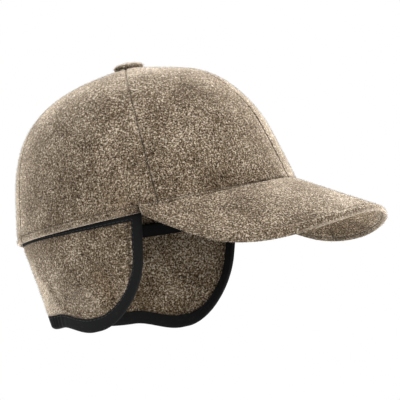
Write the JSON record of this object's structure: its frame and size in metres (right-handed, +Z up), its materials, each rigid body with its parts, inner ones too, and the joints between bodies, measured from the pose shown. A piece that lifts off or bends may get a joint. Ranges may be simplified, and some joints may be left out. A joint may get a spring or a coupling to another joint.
{
  "type": "baseball cap with earflaps",
  "caption": "Wool baseball cap with an arched peak, a covered button and a dark-bound ear flap that hangs round the back of the head.",
  "frame": {"origin": "centre of the head opening, where a head carries the cap", "axes": "+X the wearer's front, where the peak points; +Y the wearer's left; +Z up. The crown is tipped back by 16.6 degrees, as the cap is worn."},
  "size_m": [0.2726, 0.1752, 0.1911],
  "materials": {
    "wool": "heathered brown-grey brushed wool cloth, matt, with light and dark flecks",
    "elastic": "near-black knitted elastic band with a faint sheen"
  },
  "bodies": {
    "root": {"crown_panel_front_left": "wool", "crown_panel_side_left": "wool", "crown_panel_back": "wool", "crown_panel_side_right": "wool", "crown_panel_front_right": "wool", "peak": "wool", "button": "wool", "ear_flap": "wool", "flap_binding": "elastic"}
  },
  "joints": []
}
